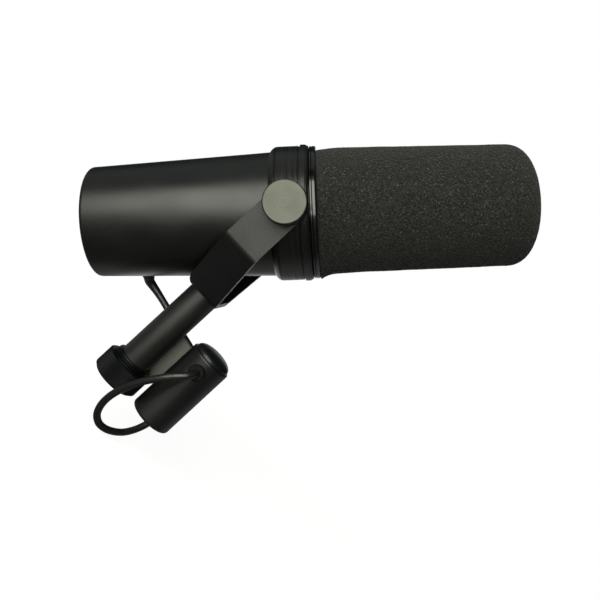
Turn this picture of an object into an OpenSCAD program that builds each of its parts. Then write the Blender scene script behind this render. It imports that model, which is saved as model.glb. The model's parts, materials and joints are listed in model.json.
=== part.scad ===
// Broadcast microphone on a yoke mount, with a captive stand nut below the post,
// a three-pin connector housing beside it and a short looped cable. Millimetres.
// The origin is the centre of the stand nut's mouth and the post stands along Z.

/* [Placement] */
// Height of the tilt pivot above the stand nut's mouth
pivot_z = 105.6; // [105:0.2:107]
// Angle between the post and the microphone's axis
lean = 40.25; // [39.5:0.25:42]

/* [Barrel] */
// Distance from the pivot back to the rear rim
barrel_len = 84.7; // [83:0.1:90]
// Outer radius at the rear rim
barrel_rear_r = 23.5; // [23.3:0.1:24.2]
// Outer radius where the barrel meets the collar
barrel_front_r = 26.6; // [26.2:0.1:26.8]
// Wall thickness of the barrel
barrel_wall = 2; // [1.6:0.1:2.2]
// Edge rounding of the rear rim
rim_round = 1.5; // [0.5:0.1:1.9]

/* [Collar and front ring] */
// Outer radius of the collar band
collar_r = 28.8; // [28.4:0.1:29.2]
// Extra radius of the collar's front lip
collar_lip = 0.5; // [0.2:0.1:0.8]
// Outer radius of the front ring
ring_r = 28.5; // [27.8:0.1:29]

/* [Windscreen] */
// Outer radius of the foam at its base
foam_base_r = 27; // [26:0.1:28.5]
// Outer radius of the foam where its front rounding starts
foam_front_r = 26.2; // [25:0.1:28]
// Distance from the pivot to the front of the foam
foam_front = 105; // [103:0.5:110]
// Length of the rounded front end
foam_round = 14.4; // [12:0.2:20]

/* [Yoke] */
// Distance from the middle to the outer face of each arm
arm_out = 36.5; // [36.2:0.1:37.5]
// Thickness of the yoke strip
yoke_t = 2.5; // [2:0.1:2.8]
// Width of the flat arms
arm_w = 16.2; // [15:0.2:17]
// Width of the yoke at its base
base_w = 17; // [16.2:0.2:17.4]
// Length of the flat arms below the pivot
arm_drop = 24.6; // [22:0.2:28]
// Distance from the pivot to the underside of the base
yoke_drop = 50.9; // [50.4:0.1:51.6]
// Half the width of the base between its bends
base_half = 13.9; // [13.4:0.1:14.4]

/* [Knobs] */
// Radius of a knob
knob_r = 8.35; // [7.6:0.05:9]
// Distance from the middle to the face of a knob
knob_out = 48; // [47:0.1:50]

/* [Post and stand nut] */
// Radius of the post
post_r = 7.2; // [6.8:0.1:7.4]
// Radius of the knurled band of the stand nut
nut_r = 10.9; // [10.4:0.1:11.4]
// Radius of the stand nut's neck
nut_neck_r = 8.7; // [8.4:0.1:9.2]
// Height of the stand nut
nut_h = 12.7; // [12.5:0.1:12.9]
// Radius of the stand nut's bore, the minor radius of a 5/8 inch 27 thread
thread_r = 7.43; // [7.4:0.01:7.46]

/* [Connector] */
// Distance from the post's axis to the connector's axis
conn_x = 22.9; // [22:0.1:24]
// Outer radius of the connector housing
conn_r = 9.8; // [9.6:0.1:10.2]
// Height of the connector housing below its cap
conn_h = 37.6; // [37:0.1:38]
// Height of the connector housing's lower end
conn_low = 1.1; // [0.8:0.1:1.4]
// Height of the domed cap
dome_h = 3.6; // [2.5:0.1:4.5]
// Height of the grommet's axis
grommet_z = 31; // [30:0.2:31.4]

/* [Cable] */
// Diameter of the cable
cable_d = 3.2; // [2.8:0.1:3.6]

/* [Hidden] */
$fn = 96;
fit = 0.05;          // clearance between pieces that sit together
run = 0.07;          // radial clearance of a turning fit
collar_half = 8;     // half the collar's length
spigot_r = 25.4;     // barrel spigot inside the collar
spigot_in = 23.6;
spigot_end = 3.9;
plate_seat = 4;      // depth of the rear plate's seat below the rim
plate_t = 1.8;
plate_r = 21.3;
ledge_r = 19.8;
ledge_t = 2;
seat_z = plate_seat - barrel_len;
plate_z = seat_z - plate_t;
standoff_x = 15.5;
standoff_r = 2.6;
standoff_len = 10.1;
board_z = seat_z + standoff_len;
board_t = 1.6;
board_r = 18.8;
board_top = board_z + board_t;
screw_r = 1.2;       // small machine screws
screw_hole = 1.25;
switch_x = 7;        // offset of each response switch
switch_rest = -2.3;  // slider position at rest
switch_w = 3.6;
switch_len = 9;
switch_top = board_z - 5.4;
gland_z = -67;       // cable gland on the barrel's underside
gland_turn = 28;
gland_seat = 23.4;
gland_flange = 25.1;
gland_tip = 27.5;
ring_back = 8.3;
ring_front = 11.2;
ring_in = 20.8;
clamp_z = 9.8;
carrier_back = -12;
carrier_in = 20;
carrier_neck = 22.5;
ring_sleeve = 23.9;    // front ring's sleeve inside the collar
cage_r = 20.4;
cage_wall = 1.2;
cage_front = 94.4;
liner_r = 19.1;
liner_in = 17.6;
foam_in = 20.75;
foam_base = 11.5;
capsule_r = 15.6;
capsule_in = 14.3;
capsule_back = -14;
capsule_front = 43;
magnet_base = 22;
pole_top = 40;
boss_r = 7.6;
boss_out = 30.2;
stud_r = 3;
friction_out = 31.6;   // outer faces of the washers inside each arm
inner_out = 32.85;
bore_r = 5;          // pivot bore in each arm
arm_in = arm_out - yoke_t;
bend_out = 4;
yoke_base = pivot_z - yoke_drop;
bend_z = pivot_z - arm_drop;
bend_angle = atan2(arm_out - base_half, bend_z - yoke_base);
post_end = nut_h + 0.1;
band_high = 10.1;    // top of the nut's knurled band
relief_r = 7.7;
relief_low = 7.6;
relief_high = 9.7;
neck_r = 5.38;
retainer_r = 7.35;
retainer_low = 7.75;
spigot_hole = 4.05;
flat_y = 6;          // rear flat of the post and of the connector housing
bracket_t = 2;
bracket_low = 13.2;
bracket_high = 32.2;
bracket_left = -5.5;
bracket_right = 30.5;
tab_left = 7.4;      // lower tab of the bracket beside the stand nut
tab_right = 18;
tab_low = 10.7;
post_screws = [19, 28];
conn_screws = [20, 25.4];
conn_y = flat_y - conn_r + 1;
socket_r = 8.1;
socket_h = 15;
cavity_r = 6.4;
cap_seat = conn_h - 2.2;
insert_low = 11.6;
pin_r = 1.2;
pin_circle = 4.7;
set_screw_z = 12.6;
set_screw_r = 0.9;
grommet_seat = conn_y - conn_r + 0.8;
grommet_face = grommet_seat - 1.6;
cable_r = cable_d / 2;
cable_bore = cable_r + fit;
relief = 0.9;        // extra radius of the cable's strain relief at the gland
relief_len = 14;
barrel_taper = (barrel_front_r - barrel_rear_r) / (barrel_len - collar_half);

// Cable route from the connector's grommet, in a hanging loop, behind the post to the barrel's gland
gland_out = [cos(gland_turn) * cos(lean), sin(gland_turn), -cos(gland_turn) * sin(lean)];
gland_end = [gland_z * sin(lean), 0, pivot_z + gland_z * cos(lean)] + (gland_tip + 0.02) * gland_out;
cable_route = [[conn_x, grommet_face - 0.02, grommet_z], [conn_x - 0.1, -15.6, 30.8], [22, -17.9, 29.4],
    [19.6, -19, 26.8], [17, -19.2, 23.6], [14.4, -18.8, 19.8], [10.9, -17.4, 13.9], [8.4, -15.6, 8.2],
    [6.4, -13.6, 2.4], [5.4, -11.7, -3.2], [5.6, -9.8, -8.6], [7.2, -7.8, -13], [10.2, -5.4, -15.7],
    [13.6, -2.8, -16.3], [16.8, 0.2, -15.6], [19.4, 3.2, -14.2], [21.4, 6, -11.9], [22.9, 8.6, -9],
    [24, 10.6, -5.2], [24.9, 11.9, 0], [25.4, 12.7, 6], [25.4, 13.1, 13], [24.3, 13.2, 19.4],
    [21.7, 13.2, 24.8], [17.3, 13.2, 28.6], [11.5, 13.2, 30.6],
    [4, 13.2, 32.1], [-4, 13.5, 33.9], [-11, 14.3, 35.3],
    [-16.5, 14.9, 36.2], [-20.6, 14.8, 36.8], gland_end + 2.4 * gland_out, gland_end];

// Places a piece drawn along Z on the microphone's axis, with the pivot at zero
module mic_place() {
    translate([0, 0, pivot_z]) rotate([0, lean, 0]) children();
}

// Places a piece drawn along Z on the pivot axis, pointing to the far or the near side
module pivot_place(side) {
    translate([0, 0, pivot_z]) rotate([-90 * side, 0, 0]) children();
}

// Puts a piece drawn along Z on both ends of the pivot axis
module both_sides() {
    for (side = [-1, 1]) pivot_place(side) children();
}

// Places a piece drawn along Z on the cable gland's axis in the microphone
module gland_place() {
    mic_place() translate([0, 0, gland_z]) rotate([0, 0, gland_turn]) rotate([0, 90, 0]) children();
}

// Places a piece drawn along Z on an axis that points to the far side
module far_place(x, z) {
    translate([x, 0, z]) rotate([-90, 0, 0]) children();
}

module washer(low, high, outer, inner) {
    translate([0, 0, low]) difference() {
        cylinder(h = high - low, r = outer);
        translate([0, 0, -1]) cylinder(h = high - low + 2, r = inner);
    }
}

// Straight wire between two points
module wire(start, end, r) {
    along = end - start;
    translate(start) rotate([0, acos(along[2] / norm(along)), atan2(along[1], along[0])])
        cylinder(h = norm(along), r = r, $fn = 16);
}

function barrel_r(z) = barrel_rear_r + barrel_taper * (z + barrel_len);

// Arc of radius r that rounds the corner b between a and c
function corner(a, b, c, r, steps) =
    let (u = (a - b) / norm(a - b), v = (c - b) / norm(c - b), half = acos(u * v) / 2)
    let (m = b + (u + v) / norm(u + v) * r / sin(half))
    let (p = b + u * r / tan(half) - m, q = b + v * r / tan(half) - m)
    let (start = atan2(p[1], p[0]), turn = (atan2(q[1], q[0]) - start + 540) % 360 - 180)
    [for (i = [0 : steps]) m + r * [cos(start + turn * i / steps), sin(start + turn * i / steps)]];

// Barrel shell and the pieces inside it
module barrel() {
    rim_r = barrel_r(rim_round - barrel_len);
    rim = [for (a = [0 : 15 : 90])
        [rim_r - rim_round * (1 - sin(a)), rim_round * (1 - cos(a)) - barrel_len]];
    inside = [[spigot_in, spigot_end], [spigot_in, -10], [barrel_r(-12) - barrel_wall, -12],
        [barrel_r(seat_z + ledge_t) - barrel_wall, seat_z + ledge_t], [ledge_r, seat_z + ledge_t],
        [ledge_r, seat_z], [plate_r + 0.1, seat_z], [plate_r + 0.1, -barrel_len]];
    outside = [[barrel_front_r, -collar_half], [spigot_r, -collar_half], [spigot_r, spigot_end]];
    color("#2b2c2a") difference() {
        mic_place() rotate_extrude() polygon(concat(rim, outside, inside));
        gland_place() translate([0, 0, gland_seat]) cylinder(h = 6, r = 4.5);
        gland_place() translate([0, 0, 15]) cylinder(h = 12, r = 3 + fit);
    }
}

module rear_plate() {
    color("#1d1e1d") mic_place() difference() {
        translate([0, 0, plate_z]) cylinder(h = plate_t, r = plate_r);
        for (side = [-1, 1]) {
            translate([side * switch_x - switch_w / 2, -switch_len / 2, plate_z - 1])
                cube([switch_w, switch_len, plate_t + 2]);
            translate([side * standoff_x, 0, plate_z - 1]) cylinder(h = plate_t + 2, r = screw_hole);
        }
    }
}

// Pan head screw pointing up Z, with its head below zero
module pan_screw(length, head_r, head_h) {
    difference() {
        translate([0, 0, -head_h]) cylinder(h = head_h, r = head_r);
        translate([-head_r, -0.3, -head_h - 1]) cube([2 * head_r, 0.6, 1.6]);
    }
    cylinder(h = length, r = screw_r);
}

module rear_plate_screws() {
    color("#3a3a3a") mic_place() for (side = [-1, 1]) translate([side * standoff_x, 0, plate_z])
        pan_screw(6.2, 2.3, 1.3);
}

module board_standoffs() {
    color("#b59a54") mic_place() for (side = [-1, 1]) translate([side * standoff_x, 0, 0])
        washer(seat_z, board_z, standoff_r, screw_hole);
}

module board_screws() {
    color("#8d8f90") mic_place() for (side = [-1, 1]) translate([side * standoff_x, 0, board_top])
        mirror([0, 0, 1]) pan_screw(5.4, 2.2, 1.3);
}

module circuit_board() {
    color("#1f4a33") mic_place() difference() {
        translate([0, 0, board_z]) cylinder(h = board_t, r = board_r);
        for (side = [-1, 1]) translate([side * standoff_x, 0, board_z - 1])
            cylinder(h = board_t + 2, r = screw_hole);
    }
}

module board_parts() {
    color("#27406b") mic_place() translate([0, 0, board_top]) {
        translate([-6, 10, 0]) cylinder(h = 9, r = 3.2);
        translate([6, 10, 0]) cylinder(h = 9, r = 3.2);
        translate([0, 15, 0]) cylinder(h = 6, r = 2.2);
    }
}

module transformer() {
    color("#4d4a45") mic_place() translate([-9, -14, board_top]) {
        cube([18, 15, 5]);
        translate([2.5, 1.5, 5]) cube([13, 12, 5]);
        translate([0, 0, 10]) cube([18, 15, 4]);
    }
}

module switch_bodies() {
    color("#222224") mic_place() for (side = [-1, 1]) translate([side * switch_x - 3, -6, switch_top])
        cube([6, 12, board_z - switch_top]);
}

// Recessed slider with a screwdriver slot
module slider(x) {
    mic_place() difference() {
        translate([x - 1.6, switch_rest - 1.7, plate_z + 0.4]) cube([3.2, 3.4, switch_top - plate_z - 0.5]);
        translate([x - 0.4, switch_rest - 2, plate_z]) cube([0.8, 4, 1.2]);
    }
}

module bass_slider() {
    color("#c9c9c4") slider(-switch_x);
}

module presence_slider() {
    color("#c9c9c4") slider(switch_x);
}

module collar() {
    lip_r = collar_r + collar_lip;
    groove = collar_r - 0.4;
    profile = [[spigot_r + fit, -collar_half], [barrel_front_r + 0.3, -collar_half], [collar_r - 1.2, -7.4],
        [collar_r - 0.6, -6.7], [collar_r - 0.1, -5.9], [collar_r, -5.5], [collar_r - 0.25, -5.3],
        [collar_r - 0.25, -5.1], [collar_r, -4.9], [collar_r, 3.9], [groove, 4.1],
        [groove, 4.4], [lip_r - 0.1, 4.6], [lip_r, 5.1], [lip_r, 6.5], [lip_r - 0.3, 7.3],
        [collar_r - 0.3, collar_half], [ring_sleeve + 0.1, collar_half],
        [ring_sleeve + 0.1, 4], [spigot_r + fit, 4]];
    color("#212221") difference() {
        union() {
            mic_place() rotate_extrude() polygon(profile);
            both_sides() translate([0, 0, 27]) cylinder(h = boss_out - 27, r = boss_r);
        }
        both_sides() translate([0, 0, 20]) cylinder(h = 12, r = stud_r + fit);
    }
}

module front_ring() {
    bore = carrier_neck + 0.1;
    profile = [[ring_in, ring_front], [ring_in, clamp_z], [bore, clamp_z], [bore, 5],
        [ring_sleeve, 5], [ring_sleeve, ring_back], [ring_r - 0.5, ring_back], [ring_r, 8.7], [ring_r, 9.2],
        [ring_r - 0.3, 9.4], [ring_r, 9.6], [ring_r, 10.6], [ring_r - 0.2, 11], [ring_r - 0.6, ring_front]];
    color("#0d0d0e") mic_place() rotate_extrude() polygon(profile);
}

module cartridge_carrier() {
    profile = [[carrier_in, carrier_back], [spigot_in - 0.1, carrier_back], [spigot_in - 0.1, 3.6],
        [carrier_neck, 3.6], [carrier_neck, ring_back - 0.1], [carrier_in, ring_back - 0.1]];
    color("#3b3d40") mic_place() rotate_extrude() polygon(profile);
}

module shock_mounts() {
    color("#191919") mic_place() {
        washer(-10, -5, carrier_in - fit, capsule_r + fit);
        washer(2, 7, carrier_in - fit, capsule_r + fit);
    }
}

module cartridge_housing() {
    color("#77797a") mic_place() difference() {
        translate([0, 0, capsule_back]) cylinder(h = capsule_front - capsule_back, r = capsule_r);
        translate([0, 0, capsule_back + 1.5]) cylinder(h = 100, r = capsule_in);
    }
}

module magnet_cup() {
    color("#8a8c8e") mic_place() difference() {
        translate([0, 0, magnet_base]) cylinder(h = pole_top - magnet_base, r = capsule_in - 0.1);
        translate([0, 0, magnet_base + 2]) cylinder(h = 30, r = 12.4);
    }
}

module magnet() {
    color("#5b5e61") mic_place() translate([0, 0, magnet_base + 2]) cylinder(h = 10, r = 10.4);
}

module pole_piece() {
    low = magnet_base + 12;
    color("#9a9c9d") mic_place() translate([0, 0, low]) cylinder(h = pole_top - low, r = 11.2);
}

module voice_coil() {
    color("#b06a35") mic_place() washer(35, capsule_front, 12.1, 11.45);
}

module diaphragm() {
    skin = 0.25;
    low = capsule_front + fit;
    dome = [for (a = [0 : 15 : 90]) [11.5 * cos(a), low + 3 * sin(a)]];
    under = [for (a = [90 : -15 : 0]) [11.2 * cos(a), low + 2.5 * sin(a)]];
    profile = concat([[capsule_r - 0.2, low], [capsule_r - 0.2, low + skin], [11.5, low + skin]],
        [for (p = dome) [p[0], p[1] + skin]], under);
    color("#c7c3a6") mic_place() rotate_extrude() polygon(profile);
}

module cartridge_cap() {
    color("#6c6e70") mic_place() difference() {
        translate([0, 0, 38]) cylinder(h = 11, r = capsule_r + 1);
        translate([0, 0, 37]) cylinder(h = 10.6, r = capsule_r + fit);
        translate([0, 0, 47]) cylinder(h = 3, r = 1.6);
        for (a = [0 : 45 : 315]) rotate([0, 0, a]) translate([8, 0, 47]) cylinder(h = 3, r = 2);
    }
}

module cartridge_leads() {
    color("#a02a22") mic_place() for (side = [-1, 1])
        wire([side * 4, 6, capsule_back - 0.2], [side * 12, 4, board_top + 0.2], 0.5);
}

module output_leads() {
    color("#d8d8d2") mic_place() rotate([0, 0, gland_turn]) for (k = [-1 : 1])
        wire([19.8, k * 0.9, gland_z], [15.8, k * 1.8, board_top + 0.4], 0.4);
}

module cable_gland() {
    color("#151515") gland_place() difference() {
        union() {
            translate([0, 0, gland_seat + fit]) cylinder(h = gland_flange - gland_seat - fit, r = 4.3);
            translate([0, 0, gland_flange]) cylinder(h = gland_tip - gland_flange, r1 = 3.4, r2 = 2.5);
            translate([0, 0, 21]) cylinder(h = 4, r = 3);
            translate([0, 0, 20]) cylinder(h = 1.2, r = 3.8);
        }
        translate([0, 0, 19]) cylinder(h = 12, r = cable_bore);
    }
}

// Grille cage and foam in front of the collar
module grille_cage() {
    rows = 4;
    row_low = 14;
    pitch = 19.4;
    low = ring_back + fit;
    color("#3f4143") mic_place() difference() {
        union() {
            translate([0, 0, low]) cylinder(h = cage_front - low, r = cage_r);
            translate([0, 0, low]) cylinder(h = clamp_z - low - fit, r = carrier_neck - 0.1);
        }
        cylinder(h = cage_front - cage_wall, r = cage_r - cage_wall);
        for (k = [0 : rows - 1], a = [0 : 30 : 150]) rotate([0, 0, a])
            translate([-30, -4.1, row_low + k * pitch]) cube([60, 8.2, pitch - 2.4]);
        for (a = [0 : 45 : 315]) rotate([0, 0, a]) translate([11.5, 0, 80]) cylinder(h = 20, r = 3.4);
        translate([0, 0, 80]) cylinder(h = 20, r = 4.5);
    }
}

module foam_liner() {
    color("#2a2b2c") mic_place() difference() {
        translate([0, 0, 12]) cylinder(h = 81, r = liner_r);
        translate([0, 0, 11]) cylinder(h = 80.4, r = liner_in);
    }
}

module windscreen() {
    power = 2.5;
    start = foam_front - foam_round;
    front = [for (a = [0 : 6 : 90])
        [foam_front_r * pow(cos(a), 2 / power), start + foam_round * pow(sin(a), 2 / power)]];
    inside = [[0, 95.2], [20.05, 95.2], [foam_in, 94.5], [foam_in, foam_base]];
    base = [[foam_base_r - 0.8, foam_base], [foam_base_r - 0.2, foam_base + 0.4],
        [foam_base_r, foam_base + 1.2]];
    color("#3a3a37") mic_place() rotate_extrude() polygon(concat(base, front, inside));
}

// Pivot hardware on both sides
module pivot_studs() {
    color("#9fa1a2") both_sides() translate([0, 0, spigot_r + 0.3])
        cylinder(h = knob_out - spigot_r - 2, r = stud_r);
}

module friction_washers() {
    color("#1a1a1b") both_sides() washer(boss_out + fit, friction_out, 8, stud_r + 0.1);
}

module inner_washers() {
    color("#b8933f") both_sides() washer(friction_out + fit, inner_out, 7.6, stud_r + 0.1);
}

module pivot_sleeves() {
    color("#b8933f") both_sides() difference() {
        union() {
            translate([0, 0, inner_out + fit]) cylinder(h = arm_in - inner_out - 2 * fit, r = 7);
            translate([0, 0, inner_out + 0.1]) cylinder(h = arm_out - inner_out - fit, r = bore_r - run);
        }
        translate([0, 0, 30]) cylinder(h = 10, r = stud_r + 0.1);
    }
}

module outer_washers() {
    color("#b8933f") both_sides() washer(arm_out + 0.1, arm_out + 1.3, 7.6, stud_r + 0.1);
}

module lock_washers() {
    color("#8f9192") both_sides() difference() {
        washer(arm_out + 1.35, arm_out + 2.35, 5.8, stud_r + 0.2);
        translate([3, -0.5, arm_out]) cube([4, 1, 4]);
    }
}

module fitted_washers() {
    color("#303132") both_sides() washer(arm_out + 2.4, arm_out + 3.5, 7.4, stud_r + 0.1);
}

module knob(side) {
    low = arm_out + 3.6;
    top = knob_out - 1.5;
    profile = [[0, knob_out], [knob_r - 0.4, knob_out], [knob_r, knob_out - 0.4], [knob_r, low + 0.6],
        [knob_r - 0.6, low], [stud_r + fit, low], [stud_r + fit, top], [0, top]];
    pivot_place(side) rotate_extrude() polygon(profile);
}

module near_knob() {
    color("#6d6f6a") knob(-1);
}

module far_knob() {
    color("#6d6f6a") knob(1);
}

// Yoke, post and stand nut
module yoke() {
    top = pivot_z + arm_w;
    shift_top = yoke_t * tan(bend_angle / 2);
    shift_low = yoke_t * tan((90 - bend_angle) / 2);
    out_path = [[arm_out, top], [arm_out, bend_z], [base_half, yoke_base], [-base_half, yoke_base]];
    in_path = [[arm_in, top], [arm_in, bend_z + shift_top], [base_half - shift_low, yoke_base + yoke_t],
        [shift_low - base_half, yoke_base + yoke_t]];
    out_half = concat([out_path[0]], corner(out_path[0], out_path[1], out_path[2], bend_out, 5),
        corner(out_path[1], out_path[2], out_path[3], bend_out, 6));
    in_half = concat([in_path[0]], corner(in_path[0], in_path[1], in_path[2], bend_out - yoke_t, 5),
        corner(in_path[1], in_path[2], in_path[3], bend_out - yoke_t, 6));
    out_left = [for (i = [len(out_half) - 1 : -1 : 0]) [-out_half[i][0], out_half[i][1]]];
    in_left = [for (p = in_half) [-p[0], p[1]]];
    in_right = [for (i = [len(in_half) - 1 : -1 : 0]) in_half[i]];
    side_view = [[-arm_w / 2, pivot_z], [-arm_w / 2, bend_z], [-base_w / 2, yoke_base + 3.4],
        [-base_w / 2 + 0.7, yoke_base + 1.5], [-base_w / 2 + 2.2, yoke_base], [base_w / 2, yoke_base],
        [arm_w / 2, bend_z], [arm_w / 2, pivot_z]];
    color("#2c2d2e") difference() {
        intersection() {
            translate([-arm_w, 0, 0]) rotate([90, 0, 90]) linear_extrude(2 * arm_w)
                polygon(concat(out_half, out_left, in_left, in_right));
            union() {
                translate([0, 60, 0]) rotate([90, 0, 0]) linear_extrude(120) polygon(side_view);
                translate([0, -60, pivot_z]) rotate([-90, 0, 0]) cylinder(h = 120, r = arm_w / 2);
            }
        }
        translate([0, -60, pivot_z]) rotate([-90, 0, 0]) cylinder(h = 120, r = bore_r);
        translate([0, 0, yoke_base - 1]) cylinder(h = 6, r = 2.6);
        translate([0, 0, yoke_base]) cylinder(h = yoke_t, r1 = 2.6, r2 = 5.1);
        translate([0, 0, yoke_base + yoke_t - 0.01]) cylinder(h = 1, r = 5.1);
        translate([-base_w / 2, 0, yoke_base + yoke_t]) rotate([0, 45, 0]) cube([1.6, 18, 4], center = true);
    }
}

module post() {
    color("#262726") difference() {
        translate([0, 0, post_end]) cylinder(h = yoke_base - post_end, r = post_r);
        translate([-10, flat_y, bracket_low - 0.3]) cube([20, 10, bracket_high - bracket_low + 0.6]);
        translate([0, 0, post_end - 1]) cylinder(h = 5.8, r = spigot_hole);
        translate([0, 0, yoke_base - 16]) cylinder(h = 20, r = 2.55);
        for (z = post_screws) far_place(0, z) translate([0, 0, 2]) cylinder(h = 10, r = screw_hole);
    }
}

module post_screw() {
    color("#55585a") difference() {
        union() {
            translate([0, 0, yoke_base - 14]) cylinder(h = 15, r = 2.5);
            translate([0, 0, yoke_base + fit]) cylinder(h = yoke_t - fit, r1 = 2.5, r2 = 4.95);
        }
        translate([0, 0, yoke_base + 1]) cylinder(h = 4, r = 1.75, $fn = 6);
    }
}

module nut_retainer() {
    color("#6a6c6d") difference() {
        union() {
            translate([0, 0, retainer_low]) cylinder(h = relief_high - fit - retainer_low, r = retainer_r);
            translate([0, 0, 9]) cylinder(h = post_end - 9, r = neck_r);
            translate([0, 0, post_end - 1]) cylinder(h = 5.4, r = spigot_hole - fit);
        }
        translate([0, 0, 7]) cylinder(h = 2, r = 3.46, $fn = 6);
    }
}

module stand_nut() {
    groove = nut_neck_r - 0.5;
    profile = [[thread_r, 0], [nut_r - 1, 0], [nut_r, 1], [nut_r, band_high - 0.5], [nut_r - 0.5, band_high],
        [nut_neck_r + 0.5, band_high + 0.1], [nut_neck_r + 0.5, 10.7], [groove, 10.9], [groove, 11.1],
        [nut_neck_r, 11.3], [nut_neck_r, 11.7], [groove, 11.9], [groove, 12.1], [nut_neck_r - 0.1, 12.3],
        [nut_neck_r - 0.3, nut_h],
        [neck_r + run, nut_h], [neck_r + run, relief_high], [relief_r, relief_high], [relief_r, relief_low],
        [thread_r, relief_low]];
    color("#1b1c1f") rotate_extrude() polygon(profile);
}

// Connector housing on its bracket
module connector_bracket() {
    r = 3;
    wide = bracket_right - bracket_left;
    tall = bracket_high - bracket_low;
    color("#4d4f4c") difference() {
        union() {
            translate([0, flat_y, 0]) rotate([-90, 0, 0]) linear_extrude(bracket_t) union() {
                translate([bracket_left + r, -bracket_high]) square([wide - 2 * r, tall]);
                translate([bracket_left, -bracket_high + r]) square([wide, tall - 2 * r]);
                translate([tab_left, -bracket_high + r])
                    square([tab_right - tab_left, bracket_high - r - tab_low]);
                for (x = [bracket_left + r, bracket_right - r], z = [bracket_low + r, bracket_high - r])
                    translate([x, -z]) circle(r = r);
            }
            // Rib behind the lower tab
            translate([5.8, flat_y + 1.2, 11]) cube([4.6, 2.4, 3]);
            translate([7.9, flat_y + bracket_t, 8.8]) cube([2.5, 1.6, 2.7]);
        }
        for (z = post_screws) far_place(0, z) cylinder(h = 12, r = screw_hole);
        for (z = conn_screws) far_place(conn_x, z) cylinder(h = 12, r = screw_hole);
    }
}

module bracket_screws() {
    head = [0, 0, flat_y + bracket_t];
    color("#55585a") {
        for (z = post_screws) far_place(0, z) translate(head) mirror([0, 0, 1]) pan_screw(5.5, 2.2, 1.3);
        for (z = conn_screws) far_place(conn_x, z) translate(head) mirror([0, 0, 1]) pan_screw(4.2, 2.2, 1.3);
    }
}

module connector_shell() {
    foot = [for (a = [0 : 22.5 : 90]) [conn_r - 1.2 + 1.2 * sin(a), conn_low + 1.2 - 1.2 * cos(a)]];
    rim = [for (a = [0 : 22.5 : 90]) [conn_r - 0.8 + 0.8 * cos(a), conn_h - 0.8 + 0.8 * sin(a)]];
    bore = [[socket_r, conn_h], [socket_r, cap_seat], [cavity_r, cap_seat], [cavity_r, socket_h],
        [socket_r, socket_h], [socket_r, conn_low]];
    profile = concat(foot, rim, bore);
    color("#242526") difference() {
        translate([conn_x, conn_y, 0]) rotate_extrude() polygon(profile);
        translate([conn_x - 15, flat_y, bracket_low - 0.3]) cube([30, 10, bracket_high - bracket_low + 0.6]);
        translate([conn_x + socket_r - 0.8, conn_y - 0.9, 0]) cube([1.4, 1.8, 9]);
        for (z = conn_screws) far_place(conn_x, z) cylinder(h = 10, r = screw_hole);
        far_place(conn_x, set_screw_z) translate([0, 0, 2]) cylinder(h = 10, r = set_screw_r + 0.03);
        translate([conn_x, grommet_seat, grommet_z]) rotate([90, 0, 0]) cylinder(h = 10, r = 3.7);
        translate([conn_x, -2, grommet_z]) rotate([90, 0, 0]) cylinder(h = 15, r = 2.95);
    }
}

module connector_cap() {
    base_r = conn_r - 0.9;
    power = 2.3;
    arc = [for (a = [0 : 7.5 : 90])
        [base_r * pow(cos(a), 2 / power), conn_h + dome_h * pow(sin(a), 2 / power)]];
    plug = [[0, cap_seat + fit], [socket_r - fit, cap_seat + fit], [socket_r - fit, conn_h]];
    color("#2a2b2c") translate([conn_x, conn_y, 0]) rotate_extrude() polygon(concat(arc, plug));
}

// Puts a piece on the axis of each contact
module pin_places() {
    for (a = [90, 210, 330])
        translate([conn_x + pin_circle * cos(a), conn_y + pin_circle * sin(a), 0]) children();
}

module connector_insert() {
    color("#101010") difference() {
        translate([conn_x, conn_y, insert_low]) cylinder(h = socket_h - insert_low, r = socket_r - fit);
        pin_places() cylinder(h = 20, r = pin_r + 0.03);
        far_place(conn_x, set_screw_z) translate([0, 0, conn_y + socket_r - 1])
            cylinder(h = 4, r = set_screw_r + fit);
    }
}

module contact_pins() {
    color("#c9b26a") pin_places() {
        translate([0, 0, 2.6]) cylinder(h = 15.4, r = pin_r);
        translate([0, 0, 2]) cylinder(h = 0.6, r1 = pin_r - 0.5, r2 = pin_r);
    }
}

module insert_screw() {
    color("#8d8f90") far_place(conn_x, set_screw_z) translate([0, 0, conn_y + socket_r - 0.8]) difference() {
        cylinder(h = 1.4, r = set_screw_r);
        translate([-2, -0.2, 0.9]) cube([4, 0.4, 2]);
    }
}

module connector_grommet() {
    color("#131313") translate([conn_x, 0, grommet_z]) rotate([90, 0, 0]) difference() {
        union() {
            translate([0, 0, -grommet_seat + fit]) cylinder(h = 1.1 - fit, r = 3.6);
            translate([0, 0, -grommet_seat + 1.1]) cylinder(h = 0.5, r1 = 3.6, r2 = 3.1);
            translate([0, 0, -conn_y + 5]) cylinder(h = conn_y - grommet_seat - 4, r = 2.9);
            translate([0, 0, -conn_y + 4.3]) cylinder(h = 1, r = 3.4);
        }
        cylinder(h = 20, r = cable_bore);
    }
}

function between(p, i, t) =
    let (a = p[max(i - 1, 0)], b = p[i], c = p[i + 1], d = p[min(i + 2, len(p) - 1)])
    b + 0.5 * t * (c - a + t * (2 * a - 5 * b + 4 * c - d + t * (3 * b - a - 3 * c + d)));

function ring_sides(along, side, i = 0) = i == len(along) ? [] :
    let (across = side - (side * along[i]) * along[i], unit = across / norm(across))
    concat([unit], ring_sides(along, unit, i + 1));

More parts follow.
